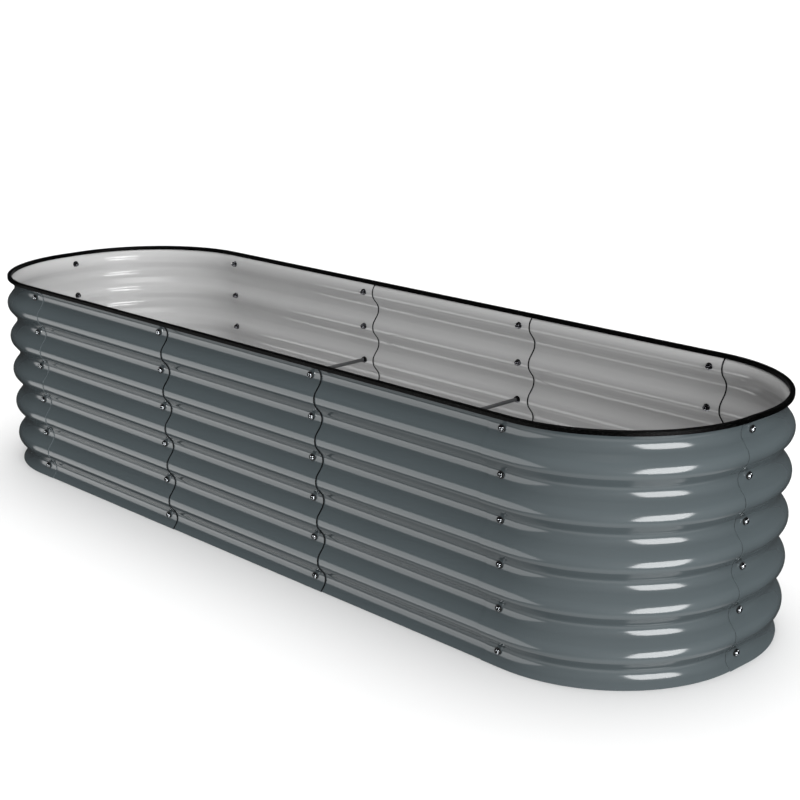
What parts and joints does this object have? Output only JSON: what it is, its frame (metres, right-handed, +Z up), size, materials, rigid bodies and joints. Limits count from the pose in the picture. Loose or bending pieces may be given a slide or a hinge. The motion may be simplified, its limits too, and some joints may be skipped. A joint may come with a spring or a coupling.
{
  "type": "raised garden bed",
  "caption": "Long raised garden bed with round ends: a bottomless ring of ribbed steel sheets, lapped and screwed, with a soft strip over the top edge and tie bars across.",
  "frame": {"origin": "middle of the bed at floor level: the bottom centre of its box", "axes": "+X along the bed, towards the round end nearer the camera; -Y towards the camera's side of the bed; +Z up"},
  "size_m": [1.9548, 0.5834, 0.429],
  "materials": {
    "slate_sheet": "gloss slate grey paint outside, satin light grey inside",
    "strip_rubber": "matt, lightly grained",
    "screw_chrome": "bright plated",
    "washer_rubber": "matt",
    "nut_black": "gloss black plated",
    "tie_bar_paint": "satin dark grey"
  },
  "bodies": {
    "root": {"front_panel_1": "slate_sheet", "front_panel_2": "slate_sheet", "front_panel_3": "slate_sheet", "back_panel_1": "slate_sheet", "back_panel_2": "slate_sheet", "back_panel_3": "slate_sheet", "corner_panel_front_right": "slate_sheet", "corner_panel_back_right": "slate_sheet", "corner_panel_back_left": "slate_sheet", "corner_panel_front_left": "slate_sheet", "edge_strip": "strip_rubber", "screws_front_seam_1": "screw_chrome", "screws_front_seam_2": "screw_chrome", "screws_front_seam_3": "screw_chrome", "screws_front_seam_4": "screw_chrome", "screws_back_seam_1": "screw_chrome", "screws_back_seam_2": "screw_chrome", "screws_back_seam_3": "screw_chrome", "screws_back_seam_4": "screw_chrome", "screws_right_seam": "screw_chrome", "screws_left_seam": "screw_chrome", "washers_front_seam_1": "washer_rubber", "washers_front_seam_2": "washer_rubber", "washers_front_seam_3": "washer_rubber", "washers_front_seam_4": "washer_rubber", "washers_back_seam_1": "washer_rubber", "washers_back_seam_2": "washer_rubber", "washers_back_seam_3": "washer_rubber", "washers_back_seam_4": "washer_rubber", "washers_right_seam": "washer_rubber", "washers_left_seam": "washer_rubber", "nuts_front_seam_1": "nut_black", "nuts_front_seam_2": "nut_black", "nuts_front_seam_3": "nut_black", "nuts_front_seam_4": "nut_black", "nuts_back_seam_1": "nut_black", "nuts_back_seam_2": "nut_black", "nuts_back_seam_3": "nut_black", "nuts_back_seam_4": "nut_black", "nuts_right_seam": "nut_black", "nuts_left_seam": "nut_black", "tie_bar_1": "tie_bar_paint", "tie_bar_1_nuts": "nut_black", "tie_bar_2": "tie_bar_paint", "tie_bar_2_nuts": "nut_black"}
  },
  "joints": []
}
